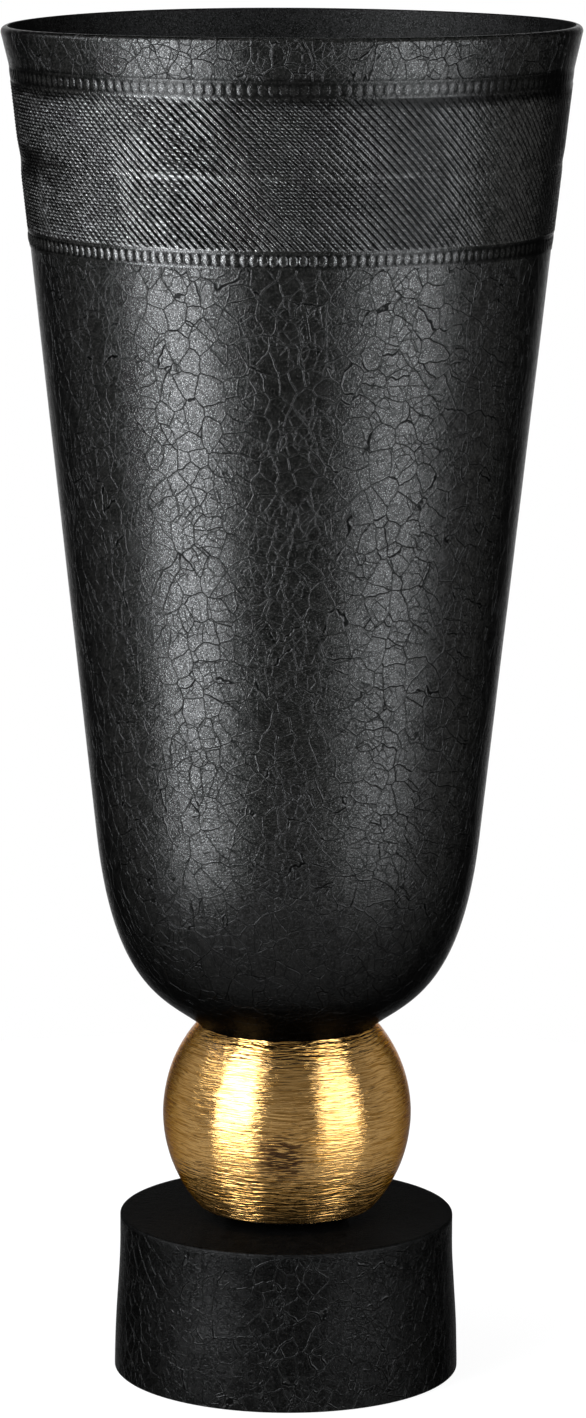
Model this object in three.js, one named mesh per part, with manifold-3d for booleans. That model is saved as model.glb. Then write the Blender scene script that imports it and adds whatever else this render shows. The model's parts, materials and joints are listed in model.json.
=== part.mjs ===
// Table vase: a tapered bowl on a ball on a drum foot, held together by one rod.
// Millimetres, +Z up. The origin is the centre of the foot, on the table.
import * as THREE from 'three';
import { mergeVertices } from 'three/addons/utils/BufferGeometryUtils.js';
import Module from 'manifold-3d';

const wasm = await Module();
wasm.setup();

// Foot pads, each in a shallow pocket of the drum's rim
const padCount = 4;
const padRadius = 3;
const padThickness = 1.5;
const padProud = 0.3;
const pocketClearance = 0.3;

// Base drum: a casting open below, thick at the rim it stands on
const drumHeight = 49.5;
const deckRadius = 52.1;
const footFlare = 1.75;
const deckEdgeRound = 0.7;
const footEdgeRound = 0.3;
const drumStraight = 7.5;
const flareTopReach = 0.3;
const flareFootReach = 0.45;
const drumWall = 5;
const deckThickness = 6;
const footRingWidth = 8;
const footRingHeight = 8;
const footRingSlope = 3;
const drumBossRadius = 15;
const drumBossHeight = 2.5;
const drumBossDraft = 1;

// Collar between the drum and the ball
const collarRadius = 19;
const collarHeight = 3.1;

// Ball: a hollow shell, a little taller than wide, cut flat at both ends
const ballRadius = 38.8;
const ballHalfHeight = 41.08;
const ballSeatRadius = 27.6;
const ballWall = 2.2;
const ballSeatThickness = 3;

// Bowl
const bowlHeight = 309.75;
const bowlSeatRadius = 27.5;
const bowlWall = 2.5;
const bowlFloor = 5;
const shoulderHeight = 59.7;
const shoulderRadius = 59.35;
const shoulderLowAngle = THREE.MathUtils.degToRad(43);
const shoulderLowReach = 12.8;
const shoulderHighReach = 50.4;

// Band round the bowl, between two rows of beads
const bandFootRadius = 79.23;
const bandRise = 0.22;
const beadRowHeight = 5.2;
const bandHeight = 55;
const bandToLip = 12.55;
const bandTopRadius = 85.68;
const borderWidth = 0.9;
const borderRise = 0.15;
const channelDepth = 0.1;
const beadCount = 175;
const beadRadius = 1.2;
const beadRise = 0.7;
const beadSink = 0.25;
const lipRadius = 88.05;
const lipOuterRound = 1.8;

// Tie rod and what is on it
const rodRadius = 4;
const rodBelowNut = 3;
const rodIntoCap = 6;
const rodEndClearance = 1;
const rodChamfer = 0.8;
const holeClearance = 0.35;
const threadClearance = 0.1;
const sealRadius = 14;
const sealThickness = 2;
const bowlWasherRadius = 12;
const bowlWasherThickness = 1.6;
const capNutFlats = 13;
const capNutHeight = 7;
const capDomeRadius = 5.9;
const baseWasherRadius = 12;
const baseWasherThickness = 1.6;
const springWasherRadius = 6.6;
const springWasherThickness = 2;
const springWasherGap = 1.2;
const baseNutFlats = 13;
const baseNutHeight = 6.5;
const nutChamfer = 0.7;

// How far a cutting cylinder reaches past the piece it cuts
const overcut = 1;

// Facets
const roundSegments = 48;
const smallSegments = 18;
const edgeSteps = 2;
const lipSteps = 3;
const shoulderSteps = 10;
const shoulderInsideSteps = 7;
const flareSteps = 4;
const ballSteps = 14;
const ballInsideSteps = 6;
const domeSteps = 4;

// Heights that follow from the sizes above
const footRadius = deckRadius + footFlare;
const padPlace = footRadius - footRingWidth / 2;
const drumBottom = padProud;
const deckTop = drumBottom + drumHeight;
const ballBottom = deckTop + collarHeight;
const ballSeatDrop = ballHalfHeight * Math.sqrt(1 - (ballSeatRadius / ballRadius) ** 2);
const ballCentre = ballBottom + ballSeatDrop;
const bowlBottom = ballCentre + ballSeatDrop;
const bossBottom = deckTop - deckThickness - drumBossHeight;
const sealBottom = bowlBottom + bowlFloor;
const bowlWasherBottom = sealBottom + sealThickness;
const capNutBottom = bowlWasherBottom + bowlWasherThickness;
const baseWasherBottom = bossBottom - baseWasherThickness;
const springWasherBottom = baseWasherBottom - springWasherThickness;
const baseNutBottom = springWasherBottom - baseNutHeight;
const rodBottom = baseNutBottom - rodBelowNut;
const rodTop = capNutBottom + rodIntoCap;
const holeRadius = rodRadius + holeClearance;
const nutHoleRadius = rodRadius + threadClearance;

// Materials, one for each sub-part
const finishes = {
  blackCast: { color: 0x232325, roughness: 0.55, metalness: 0.6 },
  brushedGold: { color: 0xc79a4e, roughness: 0.32, metalness: 1 },
  steel: { color: 0xb4b6b8, roughness: 0.35, metalness: 1 },
  rubber: { color: 0x1b1b1b, roughness: 0.85, metalness: 0 },
  felt: { color: 0x2a2a2c, roughness: 1, metalness: 0 },
};

const vase = new THREE.Group();

function place(name, geometry, finish, z = 0) {
  const mesh = new THREE.Mesh(geometry, new THREE.MeshStandardMaterial(finishes[finish]));
  mesh.name = name;
  mesh.position.z = z;
  vase.add(mesh);
  return mesh;
}

// Outline points are (radius, height); the lathe's own axis is Y, so it is stood up on Z.
function at(radius, height) {
  return new THREE.Vector2(radius, height);
}

function revolve(outline, segments = roundSegments) {
  const closed = [...outline, outline[0].clone()];
  const geometry = new THREE.LatheGeometry(closed, segments);
  geometry.rotateX(Math.PI / 2);
  return weld(geometry);
}

function weld(geometry) {
  geometry.deleteAttribute('normal');
  geometry.deleteAttribute('uv');
  const welded = mergeVertices(geometry, 1e-4);
  const kept = [];
  const index = welded.index.array;
  for (let i = 0; i < index.length; i += 3) {
    const [a, b, c] = [index[i], index[i + 1], index[i + 2]];
    if (a !== b && b !== c && c !== a) kept.push(a, b, c);
  }
  welded.setIndex(kept);
  return welded;
}

function toSolid(geometry) {
  const welded = weld(geometry.clone());
  return new wasm.Manifold(new wasm.Mesh({
    numProp: 3,
    vertProperties: new Float32Array(welded.attributes.position.array),
    triVerts: new Uint32Array(welded.index.array),
  }));
}

function toGeometry(solid) {
  const mesh = solid.getMesh();
  const geometry = new THREE.BufferGeometry();
  geometry.setAttribute('position', new THREE.BufferAttribute(mesh.vertProperties, 3));
  geometry.setIndex(new THREE.BufferAttribute(mesh.triVerts, 1));
  return geometry;
}

// Points along a quarter turn from one direction to another round a centre
function corner(radius, height, size, fromAngle, toAngle, steps = edgeSteps) {
  const points = [];
  for (let i = 0; i <= steps; i++) {
    const angle = THREE.MathUtils.degToRad(fromAngle + ((toAngle - fromAngle) * i) / steps);
    points.push(at(radius + size * Math.cos(angle), height + size * Math.sin(angle)));
  }
  return points;
}

// A plain cylinder round Z
function cylinder(radius, bottom, top) {
  return revolve([at(0, bottom), at(radius, bottom), at(radius, top), at(0, top)], smallSegments);
}

// A flat ring or plate with a hole, standing on z = 0
function washer(outerRadius, innerRadius, thickness) {
  return revolve([
    at(innerRadius, 0), at(outerRadius, 0), at(outerRadius, thickness), at(innerRadius, thickness),
  ], smallSegments);
}

function padAngles() {
  return Array.from({ length: padCount }, (_, i) => (2 * Math.PI * (i + 0.5)) / padCount);
}

// The drum: straight below the deck's edge, then flaring to the foot
function drumGeometry() {
  const flareTop = drumHeight - drumStraight;
  const flare = new THREE.CubicBezierCurve(
    at(footRadius, footEdgeRound),
    at(footRadius, flareTop * flareFootReach),
    at(deckRadius, flareTop * (1 - flareTopReach)),
    at(deckRadius, flareTop));
  const foot = corner(footRadius - footEdgeRound, footEdgeRound, footEdgeRound, -90, 0);
  const edge = corner(deckRadius - deckEdgeRound, drumHeight - deckEdgeRound, deckEdgeRound, 0, 90);
  const underDeck = drumHeight - deckThickness;
  const ringInside = footRadius - footRingWidth;
  const drum = revolve([
    ...foot, ...flare.getPoints(flareSteps).slice(1), ...edge,
    at(holeRadius, drumHeight),
    at(holeRadius, underDeck - drumBossHeight),
    at(drumBossRadius, underDeck - drumBossHeight),
    at(drumBossRadius + drumBossDraft, underDeck),
    at(deckRadius - drumWall, underDeck),
    at(deckRadius - drumWall, footRingHeight + footRingSlope),
    at(ringInside, footRingHeight),
    at(ringInside, 0),
  ]);
  const pockets = padAngles().map((angle) => {
    const pocket = cylinder(padRadius + pocketClearance, -overcut, padThickness - padProud);
    return toSolid(pocket.translate(padPlace * Math.cos(angle), padPlace * Math.sin(angle), 0));
  });
  return toGeometry(toSolid(drum).subtract(wasm.Manifold.union(pockets)));
}

// The ball: an arc outside, a parallel arc inside, and a flat seat at each end
function ballGeometry() {
  const outer = [];
  const inner = [];
  const outerEnd = Math.asin(ballSeatDrop / ballHalfHeight);
  const innerDrop = ballSeatDrop - ballSeatThickness;
  const innerEnd = Math.asin(innerDrop / (ballHalfHeight - ballWall));
  for (let i = 0; i <= ballSteps; i++) {
    const angle = outerEnd * ((2 * i) / ballSteps - 1);
    outer.push(at(ballRadius * Math.cos(angle), ballHalfHeight * Math.sin(angle)));
  }
  for (let i = 0; i <= ballInsideSteps; i++) {
    const angle = innerEnd * (1 - (2 * i) / ballInsideSteps);
    const [across, up] = [ballRadius - ballWall, ballHalfHeight - ballWall];
    inner.push(at(across * Math.cos(angle), up * Math.sin(angle)));
  }
  return revolve([
    ...outer,
    at(holeRadius, ballSeatDrop), at(holeRadius, innerDrop),
    ...inner,
    at(holeRadius, -innerDrop), at(holeRadius, -ballSeatDrop),
  ]);
}

// Heights on the bowl, from its bottom, and the straight taper from the shoulder to the band
const lipShoulder = bowlHeight - lipOuterRound;
const bandTop = bowlHeight - bandToLip;
const bandFoot = bandTop - bandHeight;
const taper = (bandFootRadius - shoulderRadius) / (bandFoot - shoulderHeight);

function shoulderCurve() {
  const high = shoulderHighReach / Math.hypot(taper, 1);
  return new THREE.CubicBezierCurve(
    at(bowlSeatRadius, 0),
    at(bowlSeatRadius + shoulderLowReach * Math.cos(shoulderLowAngle),
      shoulderLowReach * Math.sin(shoulderLowAngle)),
    at(shoulderRadius - high * taper, shoulderHeight - high),
    at(shoulderRadius, shoulderHeight));
}

// Radius of the band's plain surface at a height above the bowl's bottom
function bandSurface(height) {
  const share = (height - bandFoot) / bandHeight;
  return THREE.MathUtils.lerp(bandFootRadius + bandRise, bandTopRadius, share);
}

// A row's outline from a height up: a raised line, the beads' sunk channel and a raised line
function rowOutline(height) {
  const top = height + beadRowHeight;
  return [
    at(bandSurface(height), height),
    at(bandSurface(height) + borderRise, height + borderWidth / 2),
    at(bandSurface(height) - channelDepth, height + borderWidth),
    at(bandSurface(top) - channelDepth, top - borderWidth),
    at(bandSurface(top) + borderRise, top - borderWidth / 2),
    at(bandSurface(top), top),
  ];
}

// The bowl's wall outside, from its seat up to the start of the lip's round
function bowlOutside() {
  return [
    ...shoulderCurve().getPoints(shoulderSteps),
    at(bandFootRadius, bandFoot),
    ...rowOutline(bandFoot),
    ...rowOutline(bandTop - beadRowHeight),
    at(lipRadius, lipShoulder),
  ];
}

// The shoulder's parallel curve inside, from its top down to the floor
function shoulderInside() {
  const shoulder = shoulderCurve();
  const points = [];
  for (let i = shoulderInsideSteps; i >= 0; i--) {
    const point = shoulder.getPoint(i / shoulderInsideSteps);
    const along = shoulder.getTangent(i / shoulderInsideSteps);
    const inner = at(point.x - bowlWall * along.y, point.y + bowlWall * along.x);
    const above = points[points.length - 1];
    if (inner.y < bowlFloor) {
      points.push(above.clone().lerp(inner, (above.y - bowlFloor) / (above.y - inner.y)));
      break;
    }
    points.push(inner);
  }
  return points;
}

// The bowl's inside runs parallel to its outside, without the band
function bowlInside() {
  return [
    at(bandTopRadius - bowlWall, bandTop),
    at(bandFootRadius - bowlWall, bandFoot),
    ...shoulderInside(),
  ];
}

function bowlShell() {
  const lipCentre = lipRadius - lipOuterRound;
  const lipInnerRound = bowlWall - lipOuterRound;
  return revolve([
    ...bowlOutside(),
    ...corner(lipCentre, lipShoulder, lipOuterRound, 0, 90, lipSteps).slice(1),
    ...corner(lipCentre, bowlHeight - lipInnerRound, lipInnerRound, 90, 180).slice(1),
    ...bowlInside(),
    at(holeRadius, bowlFloor),
    at(holeRadius, 0),
  ]);
}

// A bead is an eight-sided stone half sunk in the wall
function beadSolids(height) {
  const radius = bandSurface(height) - channelDepth;
  const count = Math.round(beadCount);
  const beads = [];
  for (let i = 0; i < count; i++) {
    const bead = new THREE.OctahedronGeometry(1, 0);
    bead.scale(beadRise, beadRadius, beadRadius);
    bead.translate(radius - beadSink, 0, height);
    bead.rotateZ((2 * Math.PI * (i + 0.5)) / count);
    beads.push(toSolid(bead));
  }
  return beads;
}

function bowlGeometry() {
  const middle = beadRowHeight / 2;
  const parts = [
    toSolid(bowlShell()),
    ...beadSolids(bandFoot + middle),
    ...beadSolids(bandTop - middle),
  ];
  return toGeometry(wasm.Manifold.union(parts));
}

// A six-sided nut on z = 0, with its corners turned off at both ends
function hexNut(flats, height, bore) {
  const across = flats / Math.sqrt(3);
  const hex = new THREE.CylinderGeometry(across, across, height, 6);
  hex.rotateX(Math.PI / 2);
  hex.translate(0, 0, height / 2);
  const turned = revolve([
    at(0, 0), at(across - nutChamfer, 0), at(across, nutChamfer / 2),
    at(across, height - nutChamfer / 2), at(across - nutChamfer, height), at(0, height),
  ], smallSegments);
  return toSolid(hex).intersect(toSolid(turned)).subtract(toSolid(bore));
}

function baseNutGeometry() {
  const bore = cylinder(nutHoleRadius, -overcut, baseNutHeight + overcut);
  return toGeometry(hexNut(baseNutFlats, baseNutHeight, bore));
}

// The cap nut: a nut with a dome, and a hole that stops inside it
function capNutGeometry() {
  const dome = [];
  for (let i = 0; i <= domeSteps; i++) {
    const angle = (Math.PI / 2) * (i / domeSteps);
    dome.push(at(capDomeRadius * Math.cos(angle), capNutHeight + capDomeRadius * Math.sin(angle)));
  }
  const capFoot = capNutHeight / 2;
  const cap = revolve([at(0, capFoot), at(capDomeRadius, capFoot), ...dome], smallSegments);
  const bore = cylinder(nutHoleRadius, -overcut, rodIntoCap + rodEndClearance);
  const nut = hexNut(capNutFlats, capNutHeight, bore);
  return toGeometry(nut.add(toSolid(cap).subtract(toSolid(bore))));
}

// The spring washer: a ring cut through at one side
function springWasherGeometry() {
  const gap = springWasherGap / springWasherRadius;
  const ring = new THREE.Shape();
  ring.absarc(0, 0, springWasherRadius, gap / 2, 2 * Math.PI - gap / 2, false);
  ring.absarc(0, 0, holeRadius, 2 * Math.PI - gap / 2, gap / 2, true);
  const sides = { depth: springWasherThickness, bevelEnabled: false, curveSegments: smallSegments };
  return weld(new THREE.ExtrudeGeometry(ring, sides));
}

// The rod, chamfered at both ends, from below the base nut into the cap nut
function tieRodGeometry() {
  const length = rodTop - rodBottom;
  return revolve([
    at(0, 0), at(rodRadius - rodChamfer, 0), at(rodRadius, rodChamfer),
    at(rodRadius, length - rodChamfer), at(rodRadius - rodChamfer, length), at(0, length),
  ], smallSegments);
}

function addFeltPads() {
  padAngles().forEach((angle, i) => {
    const mesh = place(`felt_pad_${i + 1}`, cylinder(padRadius, 0, padThickness), 'felt');
    mesh.position.set(padPlace * Math.cos(angle), padPlace * Math.sin(angle), 0);
  });
}

addFeltPads();
place('base_drum', drumGeometry(), 'blackCast', drumBottom);
place('collar', washer(collarRadius, holeRadius, collarHeight), 'blackCast', deckTop);
place('ball', ballGeometry(), 'brushedGold', ballCentre);
place('bowl', bowlGeometry(), 'blackCast', bowlBottom);
place('tie_rod', tieRodGeometry(), 'steel', rodBottom);
place('bowl_seal', washer(sealRadius, holeRadius, sealThickness), 'rubber', sealBottom);
place('bowl_washer', washer(bowlWasherRadius, holeRadius, bowlWasherThickness), 'steel', bowlWasherBottom);
place('cap_nut', capNutGeometry(), 'steel', capNutBottom);
place('base_washer', washer(baseWasherRadius, holeRadius, baseWasherThickness), 'steel', baseWasherBottom);
place('spring_washer', springWasherGeometry(), 'steel', springWasherBottom);
place('base_nut', baseNutGeometry(), 'steel', baseNutBottom);

export default vase;
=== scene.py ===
# Table vase: a black crackle bowl with a knurled band, on a gold ball and a black drum.
import json
import math

import bpy
import numpy as np
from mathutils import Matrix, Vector


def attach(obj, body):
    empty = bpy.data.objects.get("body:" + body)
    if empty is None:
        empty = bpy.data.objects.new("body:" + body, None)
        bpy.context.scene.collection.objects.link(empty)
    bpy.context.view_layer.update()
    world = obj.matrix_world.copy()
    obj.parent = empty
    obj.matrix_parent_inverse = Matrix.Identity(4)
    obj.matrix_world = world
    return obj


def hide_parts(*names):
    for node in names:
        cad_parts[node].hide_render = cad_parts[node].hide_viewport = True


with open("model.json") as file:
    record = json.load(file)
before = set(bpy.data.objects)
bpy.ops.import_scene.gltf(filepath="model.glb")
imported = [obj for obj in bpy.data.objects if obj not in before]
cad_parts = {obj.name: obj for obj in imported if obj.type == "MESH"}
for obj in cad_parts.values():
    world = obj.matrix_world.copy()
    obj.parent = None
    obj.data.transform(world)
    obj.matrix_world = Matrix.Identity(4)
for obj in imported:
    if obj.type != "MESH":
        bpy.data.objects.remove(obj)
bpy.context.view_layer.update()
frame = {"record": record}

MM = 0.001
TAU = 2 * math.pi

# Camera: where the photograph was taken from, in metres and degrees
CAMERA_DISTANCE = 1.7024
CAMERA_HEIGHT = 0.5097
CAMERA_PITCH = 10.0
CAMERA_SIDE = -0.0001
CAMERA_ROLL = -0.27
CAMERA_LENS = 142.1
CAMERA_SENSOR = 36.0

# Bowl, in millimetres; heights are above the table
BOWL_TOP = 420.39
BOWL_BOTTOM = 110.65
BOWL_SEAT = 27.5
BOWL_WALL = 2.5
BOWL_FLOOR = 5.0
SHOULDER_RADIUS = 59.35
SHOULDER_HEIGHT = 59.7
SHOULDER_LOW_ANGLE = math.radians(43)
SHOULDER_LOW_REACH = 12.8
SHOULDER_HIGH_REACH = 50.4
BAND_FOOT_RADIUS = 79.23
BAND_TOP_RADIUS = 85.68
BAND_RISE = 0.22
BAND_HEIGHT = 55.0
BAND_TO_LIP = 12.55
BEAD_ROW = 5.2
LIP_RADIUS = 88.05
LIP_ROUND = 1.8
LIP_DIP_LEFT = 1.2
LIP_DIP_RIGHT = 0.15
INSIDE_WAVE = 0.12
FLOOR_EASE = 0.8

# Band: ridges, beads and the fine lines beside the beads
RIDGES = 207
RIDGE_COLUMNS = 8
RIDGE_DEPTH = 0.5
DEEP_GROOVE = 0.34
FINE_GROOVE = 0.15
FINE_GROOVE_SHARE = 0.45
SERRATION = 0.4
NOTCH_ROWS = 3
RIDGE_SLOPE = 1.0
KNURL_ROWS = 130
KNURL_RISE = 0.12
WAIST = 379.5
WAIST_DEPTH = 0.22
WAIST_REACH = 2.4
WORN_TURN = 0.5
WORN_REACH = 0.06
WORN_HEIGHT = 380.0
WORN_HALF = 4.5
BEADS = 175
BEAD_WIDTH = 0.47
BEAD_RISE = 0.5
BORDER_LINE = 0.9
BORDER_RISE = 0.15
CHANNEL_DEPTH = 0.1
CAST_RELIEF = 0.05

# How much painted shade each row of beads gets, from 0 to 1: at the front and at the right, and at its
# darkest, in its channels.
# It isn't shaded more where its relief is above the height called bare.
LOWER_BEADS = {"dark": (0.5, 0.72), "darkest": 0.95, "bare": 0.12}
UPPER_BEADS = {"dark": (0.66, 0.76), "darkest": 0.92, "bare": 0.1}

# The knurl gets a patch of painted shade, which takes down the right lamps' highlight, where the cosine
# of the angle round the vase is near this
PAINTED_SHADE_PATCH = 0.42
PAINTED_SHADE_PATCH_REACH = 0.2

# Heights and counts that follow from those
BAND_TOP = BOWL_TOP - BAND_TO_LIP
BAND_FOOT = BAND_TOP - BAND_HEIGHT
SHOULDER_TOP = BOWL_BOTTOM + SHOULDER_HEIGHT
LIP_SHOULDER = BOWL_TOP - LIP_ROUND
BODY_COLUMNS = RIDGES * RIDGE_COLUMNS // 3

# Ball and drum, in millimetres; the ball is rubbed dark at one place on its front
BALL_RADIUS = 38.8
BALL_HALF_HEIGHT = 41.08
BALL_CENTRE = 81.77
BALL_SEAT_DROP = 28.87
RUBBED = (-1.5, -38.0, 76.5)
DECK_TOP = 49.8
DECK_RADIUS = 52.1
DRUM_BOTTOM = 0.3
FOOT_EASE = 0.3
DECK_ROUND = 0.7

# Sizes of the smaller pieces, in millimetres
FOOT_RADIUS = 53.85
FOOT_RING = 8.0
FOOT_RING_HEIGHT = 8.0
FOOT_RING_SLOPE = 3.0
FLARE_TOP = 42.0
FLARE_LOW_SHARE = 0.45
FLARE_HIGH_SHARE = 0.7
DRUM_WALL = 5.0
DECK_THICKNESS = 6.0
BOSS_RADIUS = 15.0
BOSS_HEIGHT = 2.5
HOLE = 4.35
PAD_RADIUS = 3.0
PAD_THICKNESS = 1.5
POCKET_CLEARANCE = 0.3
COLLAR_RADIUS = 19.0
COLLAR_HEIGHT = 3.1
ROD_RADIUS = 4.0
ROD_CHAMFER = 0.8
THREAD_PITCH = 1.25
THREAD_DEPTH = 0.6
NUT_HOLE = 4.1
NUT_FLATS = 13.0
NUT_CHAMFER = 0.7
BASE_NUT_HEIGHT = 6.5
CAP_NUT_HEIGHT = 7.0
CAP_DOME = 5.9
CAP_BORE = 7.0
WASHER_RADIUS = 12.0
WASHER_THICKNESS = 1.6
SPRING_RADIUS = 6.6
SPRING_THICKNESS = 2.0
SPRING_GAP = 1.2
SEAL_RADIUS = 14.0
SEAL_THICKNESS = 2.0
ROD_BELOW_NUT = 3.0
ROD_INTO_CAP = 6.0
BALL_WALL = 2.2
BALL_SEAT_THICKNESS = 3.0
PADS = 4


def lerp(a, b, share):
    return a + (b - a) * share


def cubic(corners, t):
    """The point at t, from 0 to 1, on the cubic curve that four corners set."""
    weights = ((1 - t) ** 3, 3 * t * (1 - t) ** 2, 3 * t * t * (1 - t), t ** 3)
    return tuple(sum(w * c[axis] for w, c in zip(weights, corners)) for axis in (0, 1))


def smooth(low, high, value):
    """0 up to the low value, 1 from the high one, and an even rise between them."""
    share = np.clip((value - low) / (high - low), 0, 1)
    return share * share * (3 - 2 * share)


def soft_noise(turn, height, cells, rows, seed):
    """Smooth noise round the vase: turn from 0 to 1 round Z, height in rows, about -1 to 1."""
    table = np.random.default_rng(seed).uniform(-1, 1, (cells, rows))
    u, v = np.mod(turn, 1) * cells, np.mod(height, 1) * rows
    i, j = np.floor(u).astype(int), np.floor(v).astype(int)
    fu, fv = u - i, v - j
    fu, fv = fu * fu * (3 - 2 * fu), fv * fv * (3 - 2 * fv)
    i, j = i % cells, j % rows
    i2, j2 = (i + 1) % cells, (j + 1) % rows
    low = lerp(table[i, j], table[i2, j], fu)
    high = lerp(table[i, j2], table[i2, j2], fu)
    return lerp(low, high, fv)


class Skin:
    """A closed skin of rings round Z, each stitched to the one before it. Sizes are in millimetres."""

    def __init__(self):
        self.points, self.triangles, self.rings, self.size = [], [], [], 0
        self.painted_shades = []

    def ring(self, radius, height, angles, painted_shade=0.0):
        """One ring of points, and how much painted shade each point gets, from 0 to 1."""
        self.painted_shades.append(np.broadcast_to(painted_shade, angles.shape))
        radius = np.broadcast_to(radius, angles.shape)
        height = np.broadcast_to(height, angles.shape)
        self.points.append(np.stack([radius * np.cos(angles), radius * np.sin(angles), height], 1))
        new = np.arange(self.size, self.size + len(angles))
        self.size += len(angles)
        if self.rings:
            self.stitch(self.rings[-1], new)
        self.rings.append(new)

    def stitch(self, low, high):
        """Triangles between two rings, one of which can have several times the other's points."""
        up = len(high) >= len(low)
        few, many = (low, high) if up else (high, low)
        fine = np.append(many, many[0])
        if len(few) == 1:
            self.face(np.repeat(few, len(many)), fine[1:], fine[:-1], up)
            return
        ratio = len(many) // len(few)
        half = ratio // 2
        after = np.roll(few, -1)
        for step in range(ratio):
            self.face(few if step < half else after, fine[step + 1::ratio], fine[step:-1:ratio], up)
        self.face(few, after, fine[half::ratio][:len(few)], up)

    def face(self, a, b, c, up):
        self.triangles.append(np.stack([a, b, c] if up else [a, c, b], 1))

    def close(self):
        self.stitch(self.rings[-1], self.rings[0])

    def to_object(self, name, sharp=30.0):
        points = np.concatenate(self.points) * MM
        triangles = np.concatenate(self.triangles)
        mesh = bpy.data.meshes.new(name)
        mesh.vertices.add(len(points))
        mesh.vertices.foreach_set("co", points.astype(np.float32).ravel())
        mesh.loops.add(triangles.size)
        mesh.loops.foreach_set("vertex_index", triangles.astype(np.int32).ravel())
        mesh.polygons.add(len(triangles))
        mesh.polygons.foreach_set("loop_start", np.arange(0, triangles.size, 3, dtype=np.int32))
        mesh.polygons.foreach_set("use_smooth", np.ones(len(triangles), dtype=bool))
        mesh.update(calc_edges=True)
        mesh.validate()
        # Painted shade of each point, kept for the coats to darken their colour by
        painted_shade = mesh.attributes.new("painted_shade", "FLOAT", "POINT")
        painted_shade.data.foreach_set("value", np.concatenate(self.painted_shades).astype(np.float32))
        mesh.set_sharp_from_angle(angle=math.radians(sharp))
        made = bpy.data.objects.new(name, mesh)
        bpy.context.scene.collection.objects.link(made)
        return made


def spread(count, offset=0.0):
    return np.arange(count) * TAU / count + offset


def shoulder_point(t):
    """The cubic curve from the bowl's seat up to the straight taper."""
    taper = (BAND_FOOT_RADIUS - SHOULDER_RADIUS) / (BAND_FOOT - SHOULDER_TOP)
    high = SHOULDER_HIGH_REACH / math.hypot(taper, 1)
    corners = [(BOWL_SEAT, BOWL_BOTTOM),
               (BOWL_SEAT + SHOULDER_LOW_REACH * math.cos(SHOULDER_LOW_ANGLE),
                BOWL_BOTTOM + SHOULDER_LOW_REACH * math.sin(SHOULDER_LOW_ANGLE)),
               (SHOULDER_RADIUS - high * taper, SHOULDER_TOP - high),
               (SHOULDER_RADIUS, SHOULDER_TOP)]
    return cubic(corners, t)


def band_surface(z):
    return lerp(BAND_FOOT_RADIUS + BAND_RISE, BAND_TOP_RADIUS, (z - BAND_FOOT) / BAND_HEIGHT)


def bead_row(angles, above, wear):
    """Relief of one row of beads and its two border lines, at a height above the row's foot."""
    edge = min(above, BEAD_ROW - above)
    if edge < BORDER_LINE:
        share = edge / BORDER_LINE
        return wear * BORDER_RISE * math.sin(math.pi * share) - CHANNEL_DEPTH * share
    across = (angles / TAU * BEADS) % 1 - 0.5
    up = (above - BEAD_ROW / 2) / (BEAD_ROW / 2 - BORDER_LINE)
    dome = np.sqrt(np.clip(1 - (across / BEAD_WIDTH) ** 2 - up ** 2, 0, 1))
    return dome * BEAD_RISE * wear - CHANNEL_DEPTH


def worn_and_shaded_right(angles):
    """How worn the band is by its place round the vase, and how much painted shade it gets there: 1 at
    the right, 0 over the front and the left.
    """
    right = np.cos(angles)
    return 0.6 * smooth(-0.1, 0.35, right) + 0.4 * smooth(0.35, 0.8, right)


def knurl(angles, z, row):
    """How deep the grooves are: a deep and a finer one for each ridge, with notches across them."""
    phase = (np.arange(len(angles)) % RIDGE_COLUMNS) / RIDGE_COLUMNS
    deep = np.clip(1 - np.abs((phase + 0.5) % 1 - 0.5) / DEEP_GROOVE, 0, 1)
    fine = FINE_GROOVE_SHARE * np.clip(1 - np.abs(phase - 0.5) / FINE_GROOVE, 0, 1)
    turn = angles / TAU
    share = (z - BAND_FOOT) / BAND_HEIGHT

    # How much of the grooves is left: less at the band's edges, its waist, one worn lens and the right
    rough = soft_noise(turn, share, 120, 14, 3)
    top = smooth(-0.5, 3.0 + 2.0 * rough, BAND_TOP - BEAD_ROW - z)
    middle = smooth(-0.3, 1.3 + 1.0 * rough, np.abs(z - WAIST - 0.8 * soft_noise(turn, share, 30, 3, 5)))
    foot = smooth(0.0, 0.8, z - BAND_FOOT - BEAD_ROW)
    worn = np.exp(-((turn - WORN_TURN) / WORN_REACH) ** 2 - ((z - WORN_HEIGHT) / WORN_HALF) ** 4)
    kept = (0.2 + 0.8 * top) * (0.5 + 0.5 * middle) * foot
    kept = kept * (1 - 0.85 * worn) * (1 - 0.75 * worn_and_shaded_right(angles))

    uneven = 1 + 0.3 * soft_noise(turn, share, 900, 60, 8)
    notch = SERRATION * (row % NOTCH_ROWS == 0) * (0.7 + 0.5 * soft_noise(turn, share, 60, 5, 9))
    notch = notch * (0.8 - 0.25 * np.cos(angles))
    grooves = RIDGE_DEPTH * (deep + fine) * kept * uneven
    return np.maximum(grooves, notch * kept) + 0.03 * soft_noise(turn, share, 800, 120, 10) + 0.25 * worn


def add_body(skin):
    """Rings up the rounded bottom and the straight taper, to the foot of the band."""
    def cast(angles, z):
        return CAST_RELIEF * soft_noise(angles / TAU, z / 400, 24, 16, 1) * smooth(0, 12, z - BOWL_BOTTOM)

    body = spread(BODY_COLUMNS)
    for t in np.linspace(0, 1, 50):
        radius, z = shoulder_point(t)
        skin.ring(radius + cast(body, z), z, body)
    for z in np.linspace(SHOULDER_TOP, BAND_FOOT, 122)[1:]:
        share = (z - SHOULDER_TOP) / (BAND_FOOT - SHOULDER_TOP)
        skin.ring(lerp(SHOULDER_RADIUS, BAND_FOOT_RADIUS, share) + cast(body, z), z, body)


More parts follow.
